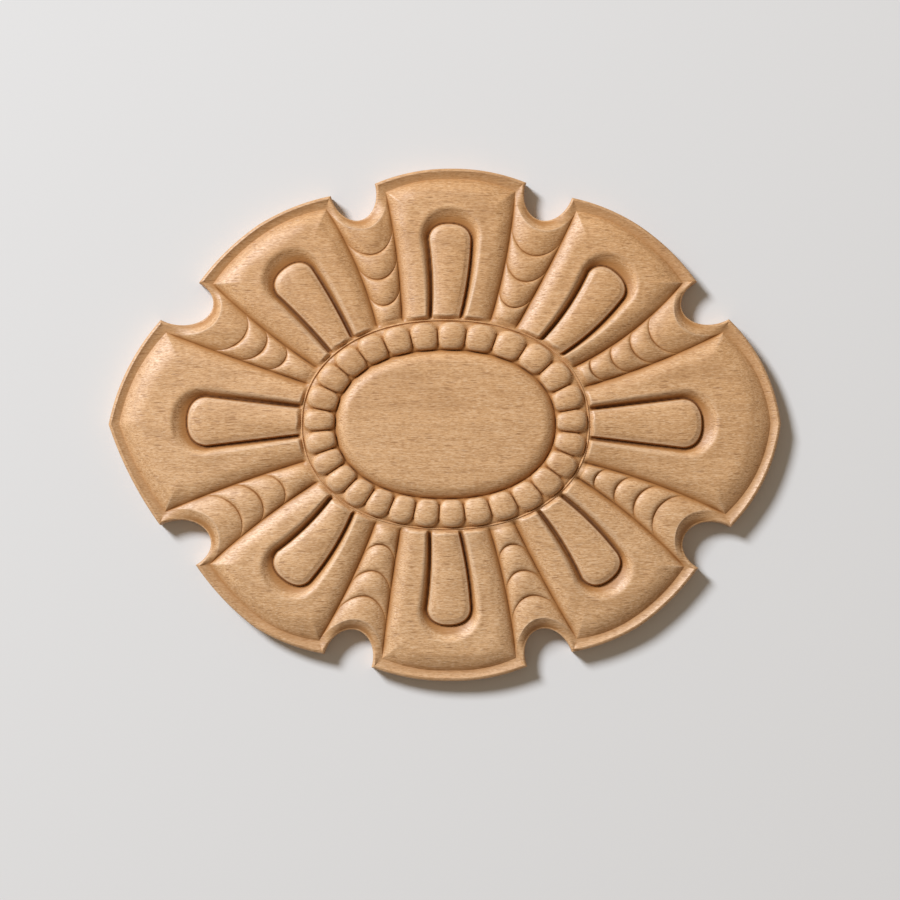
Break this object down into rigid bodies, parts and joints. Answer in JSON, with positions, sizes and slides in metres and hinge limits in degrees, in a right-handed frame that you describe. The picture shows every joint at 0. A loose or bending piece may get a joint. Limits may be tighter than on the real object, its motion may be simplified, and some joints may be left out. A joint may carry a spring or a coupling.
{
  "type": "rosette onlay",
  "caption": "Oval carved wooden onlay: petals with raised tongues, husk bands between them and a ring of beads round a smooth oval field, flat back for gluing.",
  "frame": {"origin": "on the flat back, under the centre of the oval field", "axes": "+X along the long axis, +Y across it, +Z out of the back towards the carving"},
  "size_m": [0.17, 0.1298, 0.0087],
  "materials": {
    "beech": "bare beech, sanded smooth, light wax with a darker tone left in the grooves"
  },
  "bodies": {
    "root": {"rosette_onlay": "beech"}
  },
  "joints": []
}
